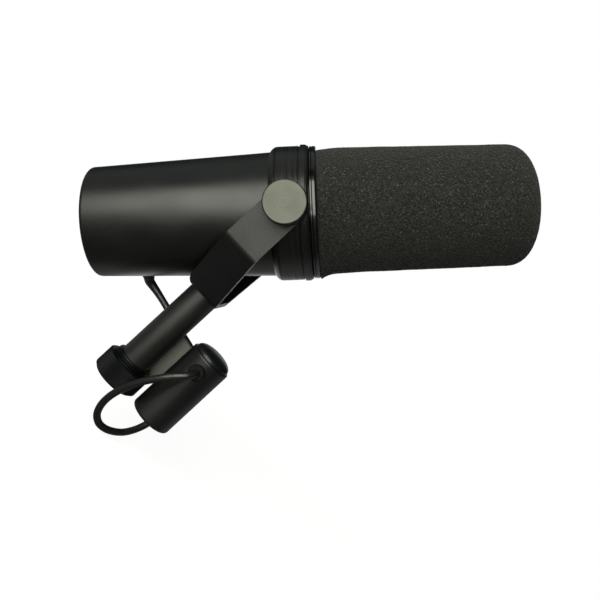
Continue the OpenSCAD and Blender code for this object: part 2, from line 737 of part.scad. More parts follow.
module cable() {
    sides = 8;
    last = len(cable_route) - 1;
    path = concat([for (i = [0 : last - 1], t = [0, 0.5]) between(cable_route, i, t)], [cable_route[last]]);
    count = len(path);
    chord = [for (i = [0 : count - 1]) path[min(i + 1, count - 1)] - path[max(i - 1, 0)]];
    along = concat([[0, -1, 0]], [for (i = [1 : count - 2]) chord[i] / norm(chord[i])], [-gland_out]);
    side = ring_sides(along, [1, 0, 0]);
    r = [for (p = path) cable_r + relief * pow(max(0, 1 - norm(p - gland_end) / relief_len), 2)];
    points = [for (i = [0 : count - 1], a = [0 : 360 / sides : 359])
        path[i] + r[i] * (cos(a) * side[i] + sin(a) * cross(along[i], side[i]))];
    walls = [for (i = [0 : count - 2], k = [0 : sides - 1])
        let (a = i * sides + k, b = i * sides + (k + 1) % sides)
        each [[a, a + sides, b], [b, a + sides, b + sides]]];
    start_cap = [for (k = [1 : sides - 2]) [0, k, k + 1]];
    base = (count - 1) * sides;
    end_cap = [for (k = [1 : sides - 2]) [base, base + k + 1, base + k]];
    color("#161616") polyhedron(points, concat(walls, start_cap, end_cap));
}

barrel();
rear_plate();
rear_plate_screws();
board_standoffs();
board_screws();
circuit_board();
board_parts();
transformer();
switch_bodies();
bass_slider();
presence_slider();
collar();
front_ring();
cartridge_carrier();
shock_mounts();
cartridge_housing();
magnet_cup();
magnet();
pole_piece();
voice_coil();
diaphragm();
cartridge_cap();
cartridge_leads();
output_leads();
cable_gland();
grille_cage();
foam_liner();
windscreen();
pivot_studs();
friction_washers();
inner_washers();
pivot_sleeves();
outer_washers();
lock_washers();
fitted_washers();
near_knob();
far_knob();
yoke();
post();
post_screw();
nut_retainer();
stand_nut();
connector_bracket();
bracket_screws();
connector_shell();
connector_cap();
connector_insert();
contact_pins();
insert_screw();
connector_grommet();
cable();
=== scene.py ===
"""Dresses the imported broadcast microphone: foam, cable, knurls, softened edges, finishes and a studio."""

import json
import math

import bmesh
import bpy
from bpy.props import FloatProperty, FloatVectorProperty, IntProperty, PointerProperty
from mathutils import Matrix, Vector, noise


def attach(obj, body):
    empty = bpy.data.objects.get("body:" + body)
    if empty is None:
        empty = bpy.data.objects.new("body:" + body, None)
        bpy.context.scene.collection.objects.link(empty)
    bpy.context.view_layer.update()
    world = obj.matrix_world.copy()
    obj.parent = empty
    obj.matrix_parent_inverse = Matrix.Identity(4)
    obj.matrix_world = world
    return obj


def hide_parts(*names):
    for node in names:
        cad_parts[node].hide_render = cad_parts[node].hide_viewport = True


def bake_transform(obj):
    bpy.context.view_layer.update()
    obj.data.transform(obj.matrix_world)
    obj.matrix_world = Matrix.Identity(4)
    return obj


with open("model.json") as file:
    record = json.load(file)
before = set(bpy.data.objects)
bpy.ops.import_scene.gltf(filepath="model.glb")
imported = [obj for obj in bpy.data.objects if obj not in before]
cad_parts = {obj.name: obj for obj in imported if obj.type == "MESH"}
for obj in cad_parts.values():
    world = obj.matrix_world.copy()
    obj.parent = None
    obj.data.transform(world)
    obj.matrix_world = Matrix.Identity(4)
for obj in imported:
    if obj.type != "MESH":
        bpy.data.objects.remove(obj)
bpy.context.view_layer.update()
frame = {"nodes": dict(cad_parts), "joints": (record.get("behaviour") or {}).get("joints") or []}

bl_info = {
    "name": "Broadcast microphone",
    "version": (1, 0, 0),
    "blender": (4, 5, 0),
    "location": "View3D > Sidebar > Microphone",
    "description": "Makes the soft pieces, knurls, finishes and studio of a yoke-mounted microphone",
    "category": "Object",
}

MM = 0.001
WELD = 0.001 * MM
FLAT = math.radians(0.5)
SHARP = math.radians(32)
JOINTS = {joint["name"]: joint for joint in frame["joints"]}
NODES = frame["nodes"]
PIVOT = Vector(JOINTS["mic_tilt"]["pos_m"])
AXIS = Vector(JOINTS["windscreen_pull"]["axis"]).normalized()
UNDER = Vector((AXIS.z, 0, -AXIS.x))
ACROSS = Vector((0, 1, 0))
MIC_PLACE = Matrix((
    (UNDER.x, 0, AXIS.x, PIVOT.x),
    (UNDER.y, 1, AXIS.y, PIVOT.y),
    (UNDER.z, 0, AXIS.z, PIVOT.z),
    (0, 0, 0, 1),
))

# Route of the cable in millimetres, from the connector's grommet to the gland below the barrel
GLAND_TURN = math.radians(28)
GLAND_OUT = UNDER * math.cos(GLAND_TURN) + ACROSS * math.sin(GLAND_TURN)
GLAND_END = PIVOT / MM - 67 * AXIS + 27.52 * GLAND_OUT
CABLE_ROUTE = [
    (22.9, -13.42, 31), (22.8, -15.6, 30.8), (22, -17.9, 29.4), (19.6, -19, 26.8), (17, -19.2, 23.6),
    (14.4, -18.8, 19.8), (10.9, -17.4, 13.9), (8.4, -15.6, 8.2), (6.4, -13.6, 2.4), (5.4, -11.7, -3.2),
    (5.6, -9.8, -8.6), (7.2, -7.8, -13), (10.2, -5.4, -15.7), (13.6, -2.8, -16.3), (16.8, 0.2, -15.6),
    (19.4, 3.2, -14.2), (21.4, 6, -11.9), (22.9, 8.6, -9), (24, 10.6, -5.2), (24.9, 11.9, 0),
    (25.4, 12.7, 6), (25.4, 13.1, 13), (24.3, 13.2, 19.4), (21.7, 13.2, 24.8), (17.3, 13.2, 28.6),
    (11.5, 13.2, 30.6), (4, 13.2, 32.1), (-4, 13.5, 33.9), (-11, 14.3, 35.3), (-16.5, 14.9, 36.2),
    (-20.6, 14.8, 36.8), tuple(GLAND_END + 2.4 * GLAND_OUT), tuple(GLAND_END),
]


# Node building

class Link:
    """One node socket, used in sums and products as a number would be."""

    def __init__(self, nodes, socket):
        self.nodes = nodes
        self.socket = socket

    def maths(self, operation, first, second=0.0):
        return self.nodes.add("ShaderNodeMath", {"operation": operation}, {0: first, 1: second})

    def __add__(self, other):
        return self.maths("ADD", self, other)

    def __sub__(self, other):
        return self.maths("SUBTRACT", self, other)

    def __rsub__(self, other):
        return self.maths("SUBTRACT", other, self)

    def __mul__(self, other):
        return self.maths("MULTIPLY", self, other)

    def __truediv__(self, other):
        return self.maths("DIVIDE", self, other)

    def __mod__(self, other):
        return self.maths("MODULO", self, other)

    __radd__ = __add__
    __rmul__ = __mul__


class Nodes:
    """A node tree that is filled by naming a node's type, its settings and its sockets."""

    def __init__(self, tree):
        self.tree = tree

    def add(self, kind, settings=None, sockets=None, out=0):
        node = self.tree.nodes.new(kind)
        for name, value in (settings or {}).items():
            setattr(node, name, value)
        for name, value in (sockets or {}).items():
            if isinstance(value, Link):
                self.tree.links.new(value.socket, node.inputs[name])
            else:
                node.inputs[name].default_value = value
        return Link(self, node.outputs[out]) if node.outputs else Link(self, None)


class Finish(Nodes):
    """A material around one Principled shader."""

    def __init__(self, name):
        self.material = bpy.data.materials.new(name)
        self.material.use_nodes = True
        self.material.node_tree.nodes.clear()
        super().__init__(self.material.node_tree)
        self.place = self.add("ShaderNodeTexCoord", out="Object")

    def along(self, direction, origin):
        """Distance of a surface point along a direction."""
        return self.vectors("DOT_PRODUCT", self.vectors("SUBTRACT", self.place, origin), direction, "Value")

    def noise(self, scale, detail=3.0, roughness=0.55):
        sockets = {"Vector": self.place, "Scale": scale, "Detail": detail, "Roughness": roughness}
        return self.add("ShaderNodeTexNoise", None, sockets)

    def cells(self, scale, feature="F1"):
        sockets = {"Vector": self.place, "Scale": scale}
        return self.add("ShaderNodeTexVoronoi", {"feature": feature}, sockets, "Distance")

    def bands(self, where, scale, detail):
        """Noise that changes along one number only."""
        sockets = {"W": where, "Scale": scale, "Detail": detail}
        return self.add("ShaderNodeTexNoise", {"noise_dimensions": "1D"}, sockets)

    def vectors(self, operation, first, second=(0, 0, 0), out=0):
        return self.add("ShaderNodeVectorMath", {"operation": operation}, {0: first, 1: second}, out)

    def wave(self, phase):
        return self.add("ShaderNodeMath", {"operation": "SINE"}, {0: phase})

    def spread(self, value, low, high, to_low=0.0, to_high=1.0):
        sockets = {"Value": value, "From Min": low, "From Max": high, "To Min": to_low, "To Max": to_high}
        return self.add("ShaderNodeMapRange", {"interpolation_type": "SMOOTHSTEP"}, sockets)

    def mix(self, factor, first, second):
        sockets = {0: factor, 6: first, 7: second}
        return self.add("ShaderNodeMix", {"data_type": "RGBA"}, sockets, 2)

    def bump(self, height, distance, strength=1.0):
        sockets = {"Height": height, "Distance": distance, "Strength": strength}
        return self.add("ShaderNodeBump", None, sockets)

    def surface(self, **sockets):
        named = {name.replace("_", " "): value for name, value in sockets.items()}
        shader = self.add("ShaderNodeBsdfPrincipled", None, named)
        self.add("ShaderNodeOutputMaterial", None, {"Surface": shader})
        return self.material


def solid(color):
    return (*color, 1.0)


def scaled(color, factor):
    return tuple(min(1.0, channel * factor) for channel in color)


# Finishes

def satin_paint(name, color, rough=0.42, gloss=0.8, grain=2600.0, relief=0.00002):
    """Sprayed satin paint: fine orange peel, uneven sheen and a few dust specks."""
    finish = Finish(name)
    peel = finish.noise(grain, 2.0)
    smudge = finish.noise(55.0, 4.0)
    dust = finish.spread(finish.noise(1500.0, 1.0), 0.74, 0.80)
    tone = finish.mix(smudge, solid(scaled(color, 0.8)), solid(scaled(color, 1.25)))
    tone = finish.mix(dust * 0.5, tone, solid(scaled(color, 6.0)))
    return finish.surface(
        Base_Color=tone,
        Roughness=finish.spread(smudge, 0.25, 0.75, rough - 0.05, rough + 0.05) + dust * 0.2,
        Specular_IOR_Level=gloss,
        Normal=finish.bump(peel, relief),
    )


def turned_paint(name, color, direction, origin, rough, gloss):
    """Satin paint over fine turned lines that run round an axis."""
    finish = Finish(name)
    along = finish.along(direction, origin)
    waver = finish.noise(140.0, 2.0)
    pitch = 0.42 * MM
    lines = finish.wave(along * (math.tau / pitch) + waver * 3.0)
    bands = finish.bands(along, 1500.0, 3.0)
    smudge = finish.noise(60.0, 4.0)
    tone = finish.mix(finish.spread(bands, 0.3, 0.7), solid(scaled(color, 0.5)), solid(scaled(color, 1.6)))
    return finish.surface(
        Base_Color=tone,
        Roughness=finish.spread(smudge, 0.25, 0.75, rough - 0.05, rough + 0.06) + (bands - 0.5) * 0.5,
        Specular_IOR_Level=gloss,
        Normal=finish.bump(lines * 0.4 + bands * 2.0, 0.00004),
    )


def gloss_lacquer(name, color):
    """Deep gloss black with faint wipe marks."""
    finish = Finish(name)
    marks = finish.noise(320.0, 5.0, 0.65)
    tone = finish.mix(marks, solid(scaled(color, 0.7)), solid(scaled(color, 1.4)))
    return finish.surface(
        Base_Color=tone,
        Roughness=finish.spread(marks, 0.3, 0.75, 0.13, 0.24),
        Specular_IOR_Level=1.0,
        Normal=finish.bump(marks, 0.000006),
    )


def open_foam(name, color, pore=1500.0):
    """Open-cell foam: painted shade in the pores between the cell walls, and painted glints where some walls
    catch the light.
    """
    finish = Finish(name)
    web = finish.cells(pore, "DISTANCE_TO_EDGE")
    # The pores are painted darker than the cell walls: painted shade in the holes.
    pores_painted_dark = finish.spread(finish.cells(pore * 0.6), 0.15, 0.6)
    grain = finish.noise(pore * 0.8, 2.0, 0.6)
    patches = finish.noise(160.0, 3.0)
    # Pale flecks on the cell walls: painted glints that stand in for light caught by the walls.
    painted_glints = finish.spread(finish.noise(pore * 1.1, 1.0, 0.4), 0.62, 0.71)
    tone = finish.mix(pores_painted_dark, solid(scaled(color, 0.35)), solid(scaled(color, 1.35)))
    tone = finish.mix(finish.spread(grain, 0.42, 0.62) * 0.8, tone, solid(scaled(color, 0.6)))
    tone = finish.mix(patches * 0.4, tone, solid(scaled(color, 0.75)))
    tone = finish.mix(painted_glints, tone, solid([4.0 * color[1]] * 3))
    return finish.surface(
        Base_Color=tone,
        Roughness=finish.spread(web, 0.0, 0.3, 0.8, 0.95),
        Specular_IOR_Level=0.25,
        Sheen_Weight=0.12,
        Sheen_Roughness=0.5,
        Normal=finish.bump(pores_painted_dark + painted_glints * 0.6, 0.00035, 0.9),
    )


def soft_rubber(name, color, rough=0.46, gloss=0.45):
    """Rubber jacket with a soft sheen, fine drag marks and a little bloom."""
    finish = Finish(name)
    drag = finish.noise(900.0, 3.0)
    bloom = finish.spread(finish.noise(90.0, 4.0), 0.45, 0.8)
    tone = finish.mix(bloom * 0.6, solid(color), solid(scaled(color, 1.9)))
    return finish.surface(
        Base_Color=tone,
        Roughness=finish.spread(drag, 0.3, 0.7, rough - 0.06, rough + 0.08) + bloom * 0.06,
        Specular_IOR_Level=gloss,
        Normal=finish.bump(drag, 0.00003),
    )


def faced_metal(name, color, center, rough=0.5):
    """Grey metal, faced on a lathe and blasted: fine rings round a centre and a few handling marks."""
    finish = Finish(name)
    blast = finish.noise(2100.0, 3.0)
    rub = finish.noise(170.0, 4.0, 0.6)
    out = finish.vectors("MULTIPLY", finish.vectors("SUBTRACT", finish.place, center), (1, 0, 1))
    reach = finish.vectors("LENGTH", out, out="Value")
    rings = finish.bands(reach + rub * 0.0004, 1700.0, 2.0)
    tone = finish.mix(rub, solid(scaled(color, 0.88)), solid(scaled(color, 1.1)))
    tone = finish.mix(finish.spread(rings, 0.42, 0.62) * 0.5, tone, solid(scaled(color, 0.8)))
    tone = finish.mix(finish.spread(blast, 0.6, 0.78) * 0.35, tone, solid(scaled(color, 0.6)))
    return finish.surface(
        Base_Color=tone,
        Metallic=0.35,
        Roughness=finish.spread(rub, 0.25, 0.75, rough - 0.06, rough + 0.06),
        Normal=finish.bump(blast + rings, 0.00002),
    )


def bare_metal(name, color, rough=0.3):
    """Machined metal with fine scratches and slight tarnish."""
    finish = Finish(name)
    drawn = finish.vectors("MULTIPLY", finish.place, (1, 1, 14))
    scratch = finish.add("ShaderNodeTexNoise", None, {"Vector": drawn, "Scale": 420.0, "Detail": 4.0})
    tarnish = finish.noise(130.0, 4.0)
    tone = finish.mix(tarnish, solid(scaled(color, 0.72)), solid(scaled(color, 1.12)))
    return finish.surface(
        Base_Color=tone,
        Metallic=1.0,
        Roughness=finish.spread(scratch, 0.25, 0.75, rough - 0.08, rough + 0.14),
        Normal=finish.bump(scratch, 0.00001),
    )


def moulded_plastic(name, color, rough=0.45):
    """Moulded plastic with a fine spark-eroded grain."""
    finish = Finish(name)
    grain = finish.noise(1900.0, 2.0)
    flow = finish.noise(110.0, 3.0)
    tone = finish.mix(flow, solid(scaled(color, 0.85)), solid(scaled(color, 1.15)))
    return finish.surface(
        Base_Color=tone,
        Roughness=finish.spread(flow, 0.3, 0.7, rough - 0.06, rough + 0.06),
        Normal=finish.bump(grain, 0.00002),
    )


def circuit_laminate(name, color):
    """Green board with copper tracks under the mask."""
    finish = Finish(name)
    tracks = finish.spread(finish.cells(260.0, "DISTANCE_TO_EDGE"), 0.03, 0.07)
    tone = finish.mix(tracks, solid((0.09, 0.16, 0.04)), solid(color))
    return finish.surface(
        Base_Color=tone,
        Roughness=finish.spread(finish.noise(200.0), 0.3, 0.7, 0.24, 0.36),
        Normal=finish.bump(1 - tracks, 0.00004),
    )


def wound_wire(name, color, direction, origin):
    """Copper wire wound in fine turns along an axis."""
    finish = Finish(name)
    along = finish.along(direction, origin)
    pitch = 0.16 * MM
    turns = finish.wave(along * (math.tau / pitch))
    # The colour is darker between the turns: painted shade in the grooves between the wires.
    tone = finish.mix(turns * 0.5 + 0.5, solid(scaled(color, 0.5)), solid(color))
    return finish.surface(
        Base_Color=tone,
        Metallic=1.0,
        Roughness=finish.spread(finish.noise(300.0), 0.3, 0.7, 0.28, 0.4),
        Normal=finish.bump(turns, 0.00003),
    )


# Meshes

def add_piece(name, mesh, material):
    mesh.materials.clear()
    mesh.materials.append(material)
    piece = bpy.data.objects.new(name, mesh)
    bpy.context.scene.collection.objects.link(piece)
    return piece


def closed_mesh(name, vertices, faces, place):
    mesh = bpy.data.meshes.new(name)
    mesh.from_pydata(vertices, [], faces)
    mesh.transform(place)
    work = bmesh.new()
    work.from_mesh(mesh)
    bmesh.ops.recalc_face_normals(work, faces=work.faces)
    work.to_mesh(mesh)
    work.free()
    mesh.polygons.foreach_set("use_smooth", [True] * len(mesh.polygons))
    mesh.update()
    return mesh


def turned(profile, sides):
    """Vertices and faces of a closed (radius, height) profile turned about Z, with poles on the axis."""
    vertices, rings = [], []
    for radius, height in profile:
        if radius < 1e-9:
            rings.append([len(vertices)])
            vertices.append((0.0, 0.0, height))
            continue
        rings.append(list(range(len(vertices), len(vertices) + sides)))
        vertices += [(radius * math.cos(angle), radius * math.sin(angle), height)
                     for angle in (math.tau * k / sides for k in range(sides))]
    faces = []
    for low, high in zip(rings, rings[1:] + rings[:1]):
        for k in range(sides):
            n = (k + 1) % sides
            if len(low) == 1 and len(high) == 1:
                break
            if len(low) == 1:
                faces.append((low[0], high[n], high[k]))
            elif len(high) == 1:
                faces.append((low[k], low[n], high[0]))
            else:
                faces.append((low[k], low[n], high[n], high[k]))
    return vertices, faces


def spaced(points, step):
    """The same line with extra points, no further apart than step."""
    line = [points[0]]
    for a, b in zip(points, points[1:]):
        count = max(1, math.ceil(math.dist(a, b) / step))
        line += [tuple(p + (q - p) * i / count for p, q in zip(a, b)) for i in range(1, count + 1)]
    return line


def softened(node, width, material, name):
    """A copy of a CAD node whose sharp edges are broken by a small round."""
    work = bmesh.new()
    work.from_mesh(NODES[node].data)
    bmesh.ops.remove_doubles(work, verts=work.verts, dist=WELD)
    bmesh.ops.dissolve_limit(work, angle_limit=FLAT, verts=work.verts, edges=work.edges)
    mesh = bpy.data.meshes.new(name)
    work.to_mesh(mesh)
    work.free()
    piece = add_piece(name, mesh, material)
    bevel = piece.modifiers.new("Edge round", "BEVEL")
    bevel.width = width
    bevel.segments = 2
    bevel.limit_method = "ANGLE"
    bevel.angle_limit = SHARP
    bevel.use_clamp_overlap = True
    mesh.polygons.foreach_set("use_smooth", [True] * len(mesh.polygons))
    normals = piece.modifiers.new("Even shading", "WEIGHTED_NORMAL")
    normals.keep_sharp = True
    applied(piece)
    return piece


def applied(piece):
    """Turns a piece's modifiers into its own plain mesh."""
    graph = bpy.context.evaluated_depsgraph_get()
    final = piece.evaluated_get(graph)
    mesh = bpy.data.meshes.new_from_object(final, preserve_all_data_layers=True, depsgraph=graph)
    materials = list(piece.data.materials)
    piece.modifiers.clear()
    piece.data = mesh
    mesh.materials.clear()
    for material in materials:
        mesh.materials.append(material)
    return mesh


# Geometry Nodes

def knurl_tree():
    """Diamond teeth in staggered rows round Z."""
    tree = bpy.data.node_groups.new("Diamond knurl", "GeometryNodeTree")
    kinds = {"Teeth": "NodeSocketInt", "Rows": "NodeSocketInt", "Radius": "NodeSocketFloat",
             "Length": "NodeSocketFloat", "Depth": "NodeSocketFloat", "Material": "NodeSocketMaterial"}
    tree.interface.new_socket("Geometry", in_out="OUTPUT", socket_type="NodeSocketGeometry")
    for name, kind in kinds.items():
        tree.interface.new_socket(name, in_out="INPUT", socket_type=kind)
    nodes = Nodes(tree)
    group = tree.nodes.new("NodeGroupInput")
    teeth, rows, radius, length, depth, material = (Link(nodes, group.outputs[name]) for name in kinds)
    index = nodes.add("GeometryNodeInputIndex")
    row = nodes.add("ShaderNodeMath", {"operation": "FLOOR"}, {0: index / teeth})
    angle = (index - row * teeth + (row % 2.0) * 0.5) * math.tau / teeth
    side = nodes.add("ShaderNodeMath", {"operation": "COSINE"}, {0: angle}) * radius
    front = nodes.add("ShaderNodeMath", {"operation": "SINE"}, {0: angle}) * radius
    height = (row + 0.5) * length / rows
    place = nodes.add("ShaderNodeCombineXYZ", None, {"X": side, "Y": front, "Z": height})
    points = nodes.add("GeometryNodePoints", None, {"Count": teeth * rows, "Position": place})
    half = radius * math.pi / teeth
    tooth = nodes.add("GeometryNodeMeshCone", {"fill_type": "NGON"}, {
        "Vertices": 4, "Radius Top": 0.0, "Radius Bottom": half, "Depth": depth})
    turn = nodes.add("ShaderNodeCombineXYZ", None, {"X": 0.0, "Y": math.pi / 2, "Z": angle})
    stretch = nodes.add("ShaderNodeCombineXYZ", None, {"X": length / rows / half, "Y": 1.0, "Z": 1.0})
    placed = nodes.add("GeometryNodeInstanceOnPoints", None, {
        "Points": points, "Instance": tooth, "Rotation": turn, "Scale": stretch})
    real = nodes.add("GeometryNodeRealizeInstances", None, {"Geometry": placed})
    flat = nodes.add("GeometryNodeSetShadeSmooth", None, {"Geometry": real, "Shade Smooth": False})
    dressed = nodes.add("GeometryNodeSetMaterial", None, {"Geometry": flat, "Material": material})
    nodes.add("NodeGroupOutput", None, {0: dressed})
    return tree


def knurl(name, tree, material, place, **sizes):
    """A band of diamond teeth as a plain mesh, set in place."""
    piece = add_piece(name, bpy.data.meshes.new(name), material)
    modifier = piece.modifiers.new("Knurl", "NODES")
    modifier.node_group = tree
    for item in tree.interface.items_tree:
        if item.in_out == "INPUT":
            modifier[item.identifier] = material if item.name == "Material" else sizes[item.name.lower()]
    mesh = applied(piece)
    mesh.transform(place)
    mesh.update()
    if not mesh.polygons:
        raise RuntimeError(f"{name} came out empty")
    return piece


# Settings

def color_setting(name, description, default):
    return FloatVectorProperty(
        name=name, description=description, default=default, subtype="COLOR", min=0, max=1)


def length_setting(name, description, default):
    return FloatProperty(name=name, description=description, default=default, unit="LENGTH", precision=5)


class MicrophoneColors(bpy.types.PropertyGroup):
    """Colours of the finishes."""

    barrel: color_setting("Barrel", "Satin paint of the barrel", (0.0028, 0.0034, 0.0032))
    collar: color_setting("Collar", "Satin paint of the collar", (0.0065, 0.0070, 0.0065))
    ring: color_setting("Front ring", "Gloss lacquer of the front ring", (0.003, 0.003, 0.003))
    foam: color_setting("Foam", "Open foam of the windscreen", (0.0285, 0.0295, 0.0262))
    yoke: color_setting("Yoke", "Satin paint of the yoke", (0.0042, 0.0046, 0.0052))
    post: color_setting("Post", "Satin paint of the post", (0.0125, 0.013, 0.0122))
    knob: color_setting("Knobs", "Blasted metal of the knobs", (0.185, 0.19, 0.158))
    nut: color_setting("Stand nut", "Black finish of the stand nut", (0.0022, 0.0028, 0.0042))
    connector: color_setting("Connector", "Soft sheen of the connector housing", (0.0062, 0.0072, 0.0072))
    bracket: color_setting("Bracket", "Satin paint of the connector bracket", (0.145, 0.148, 0.13))
    cable: color_setting("Cable", "Rubber jacket of the cable", (0.0065, 0.007, 0.007))


class MicrophoneSizes(bpy.types.PropertyGroup):
    """Sizes of the pieces made here."""

    foam_lean: FloatProperty(name="Foam droop", description="How far the foam's skin droops at the front",
                             default=math.radians(0.65), subtype="ANGLE")
    foam_flare: length_setting("Foam flare", "How far the foam's base spreads at the underside", 3.4 * MM)
    pore_depth: length_setting("Pore depth", "Depth of the foam's surface pores", 0.16 * MM)
    cable_diameter: length_setting("Cable", "Diameter of the cable", 3.2 * MM)
    edge_round: length_setting("Edge round", "Round on the edges of the sheet metal", 0.3 * MM)
    nut_teeth: IntProperty(name="Nut teeth", description="Diamonds round the stand nut", default=92, min=12)
    knob_teeth: IntProperty(name="Knob teeth", description="Diamonds round each knob", default=72, min=12)


class MicrophoneStage(bpy.types.PropertyGroup):
    """Camera, lights and floor."""

    lens: FloatProperty(name="Lens", description="Focal length of the camera", default=42.0, unit="CAMERA")
    floor: length_setting("Floor", "Height of the floor below the stand nut", -19.5 * MM)
    key_level: FloatProperty(name="Key light", description="Brightness of the large soft light", default=3.7)
    top_level: FloatProperty(name="Top light", description="Brightness of the light above", default=0.2)
    back_level: FloatProperty(name="Back light", description="Brightness of the light behind", default=9.0)
    surround: color_setting("Surround", "Brightness of the room", (0.027, 0.034, 0.034))


# Operators

class Maker:
    """Gives an operator the settings of the scene."""

    bl_options = {"REGISTER", "UNDO"}

    @property
    def colors(self):
        return bpy.context.scene.microphone_colors

    @property
    def sizes(self):
        return bpy.context.scene.microphone_sizes

    @property
    def stage(self):
        return bpy.context.scene.microphone_stage


class MICROPHONE_OT_stage(Maker, bpy.types.Operator):
    """Sets up the camera, lights and floor"""

    bl_idname = "microphone.stage"
    bl_label = "Studio"

    right = Vector((0.678, 0, 0.735)).normalized()
    up = Vector((-0.735, 0, 0.678)).normalized()
    eye = Vector((34.1, -303.7, 100.8)) * MM
    picture, film = 600, 36.0
    offset = (-38 / picture, -21 / picture)
    middle = Vector((10, 0, 90)) * MM
    key_rise, key_left = math.radians(21.0), 0.09
    # Cosines of the angle from straight behind where gloss starts to show the backdrop, and shows it fully
    backdrop = (0.91, 0.995)
    # The same for the pale ground, and the share of it that gloss shows
    ground, ground_share = (-0.25, 0.3), 0.18

    def execute(self, context):
        scene = context.scene
        scene.view_settings.view_transform = "Standard"
        self.make_camera(scene)
        self.make_lights(scene)
        self.make_world(scene)
        self.make_floor(scene)
        return {"FINISHED"}

    def make_camera(self, scene):
        data = bpy.data.cameras.new("Camera")
        data.lens = self.stage.lens
        data.sensor_width = self.film
        camera = bpy.data.objects.new("Camera", data)
        scene.collection.objects.link(camera)
        data.shift_x, data.shift_y = self.offset
        right, up, ahead = self.right, self.up, ACROSS
        camera.matrix_world = Matrix((
            (right.x, up.x, -ahead.x, self.eye.x),
            (right.y, up.y, -ahead.y, self.eye.y),
            (right.z, up.z, -ahead.z, self.eye.z),
            (0, 0, 0, 1),
        ))
        scene.camera = camera

    def add_light(self, scene, name, toward, distance, size, level, color):
        data = bpy.data.lights.new(name, "AREA")
        data.shape = "RECTANGLE"
        data.size, data.size_y = size
        data.energy = level * math.pi * size[0] * size[1]
        data.color = color
        light = bpy.data.objects.new(name, data)
        scene.collection.objects.link(light)
        back = toward.normalized()
        side = self.up.cross(back).normalized()
        rise = back.cross(side)
        spot = self.middle + back * distance
        light.matrix_world = Matrix((
            (side.x, rise.x, back.x, spot.x),
            (side.y, rise.y, back.y, spot.y),
            (side.z, rise.z, back.z, spot.z),
            (0, 0, 0, 1),
        ))
        light.visible_camera = False
        return light

    def make_lights(self, scene):
        levels = self.stage
        toward = (-ACROSS * math.cos(self.key_rise) + self.up * math.sin(self.key_rise)
                  - self.key_left * self.right)
        self.add_light(scene, "Key light", toward, distance=0.8, size=(0.75, 0.88),
                       level=levels.key_level, color=(1.0, 1.0, 0.89))
        above = self.up + 0.1 * ACROSS
        self.add_light(scene, "Top light", above, distance=0.9, size=(1.2, 0.8),
                       level=levels.top_level, color=(0.95, 1.0, 0.97))
        fill = self.add_light(scene, "Back light", ACROSS, distance=0.9, size=(0.5, 0.4),
                              level=levels.back_level, color=(1.0, 1.0, 0.95))
        fill.visible_glossy = False

    def seen_background(self, nodes, direction, ground_share=0.0):
        """1 where a ray shows the background itself: in the picture, or in gloss and glass that face it."""
        path = nodes.tree.nodes.new("ShaderNodeLightPath")
        seen, glossy, through = (Link(nodes, path.outputs[name]) for name in (
            "Is Camera Ray", "Is Glossy Ray", "Is Transmission Ray"))
        facing = nodes.add(
            "ShaderNodeVectorMath", {"operation": "DOT_PRODUCT"}, {0: direction, 1: ACROSS}, "Value")

        def rise(low, high, most):
            sockets = {"Value": facing, "From Min": low, "From Max": high, "To Max": most}
            return nodes.add("ShaderNodeMapRange", {"interpolation_type": "SMOOTHSTEP"}, sockets)

        behind = rise(*self.backdrop, 1.0)
        below = rise(*self.ground, ground_share)
        mirrored = nodes.add("ShaderNodeMath", {"operation": "MAXIMUM"}, {0: behind, 1: below})
        mirrored = (glossy + through) * mirrored
        return nodes.add("ShaderNodeMath", {"operation": "MAXIMUM"}, {0: seen, 1: mirrored})

    def make_world(self, scene):
        world = bpy.data.worlds.new("Studio")
        world.use_nodes = True
        world.node_tree.nodes.clear()
        scene.world = world
        nodes = Nodes(world.node_tree)
        direction = nodes.add("ShaderNodeTexCoord", out="Generated")
        white = self.seen_background(nodes, direction)
        sockets = {0: white, 6: solid(self.stage.surround), 7: (1, 1, 1, 1)}
        light = nodes.add("ShaderNodeMix", {"data_type": "RGBA"}, sockets, 2)
        shade = nodes.add("ShaderNodeBackground", None, {"Color": light, "Strength": 1.0})
        nodes.add("ShaderNodeOutputWorld", None, {"Surface": shade})

    def make_floor(self, scene):
        reach = 6.0
        mesh = bpy.data.meshes.new("Floor")
        height = self.stage.floor
        corners = [(x * reach, y * reach, height) for x, y in ((-1, -1), (1, -1), (1, 1), (-1, 1))]
        mesh.from_pydata(corners, [], [(0, 1, 2, 3)])
        finish = Finish("Pale floor")
        white = self.seen_background(finish, finish.vectors("NORMALIZE", finish.place), self.ground_share)
        away = finish.vectors("LENGTH", finish.place, out="Value")
        share = finish.spread(away, 0.2, 0.6, 0.45, 0.0)
        paint = finish.add("ShaderNodeBsdfDiffuse", None, {"Color": (0.2, 0.2, 0.2, 1)})
        lit_tone = finish.mix(share, (0, 0, 0, 1), (1, 1, 1, 1))
        lit = finish.add("ShaderNodeBsdfDiffuse", None, {"Color": lit_tone})
        card = finish.add("ShaderNodeEmission", None, {"Color": (1, 1, 1, 1), "Strength": 1 - share * 0.3})
        shown = finish.add("ShaderNodeAddShader", None, {0: lit, 1: card})
        shade = finish.add("ShaderNodeMixShader", None, {0: white, 1: paint, 2: shown})
        finish.add("ShaderNodeOutputMaterial", None, {"Surface": shade})
        add_piece("floor", mesh, finish.material)


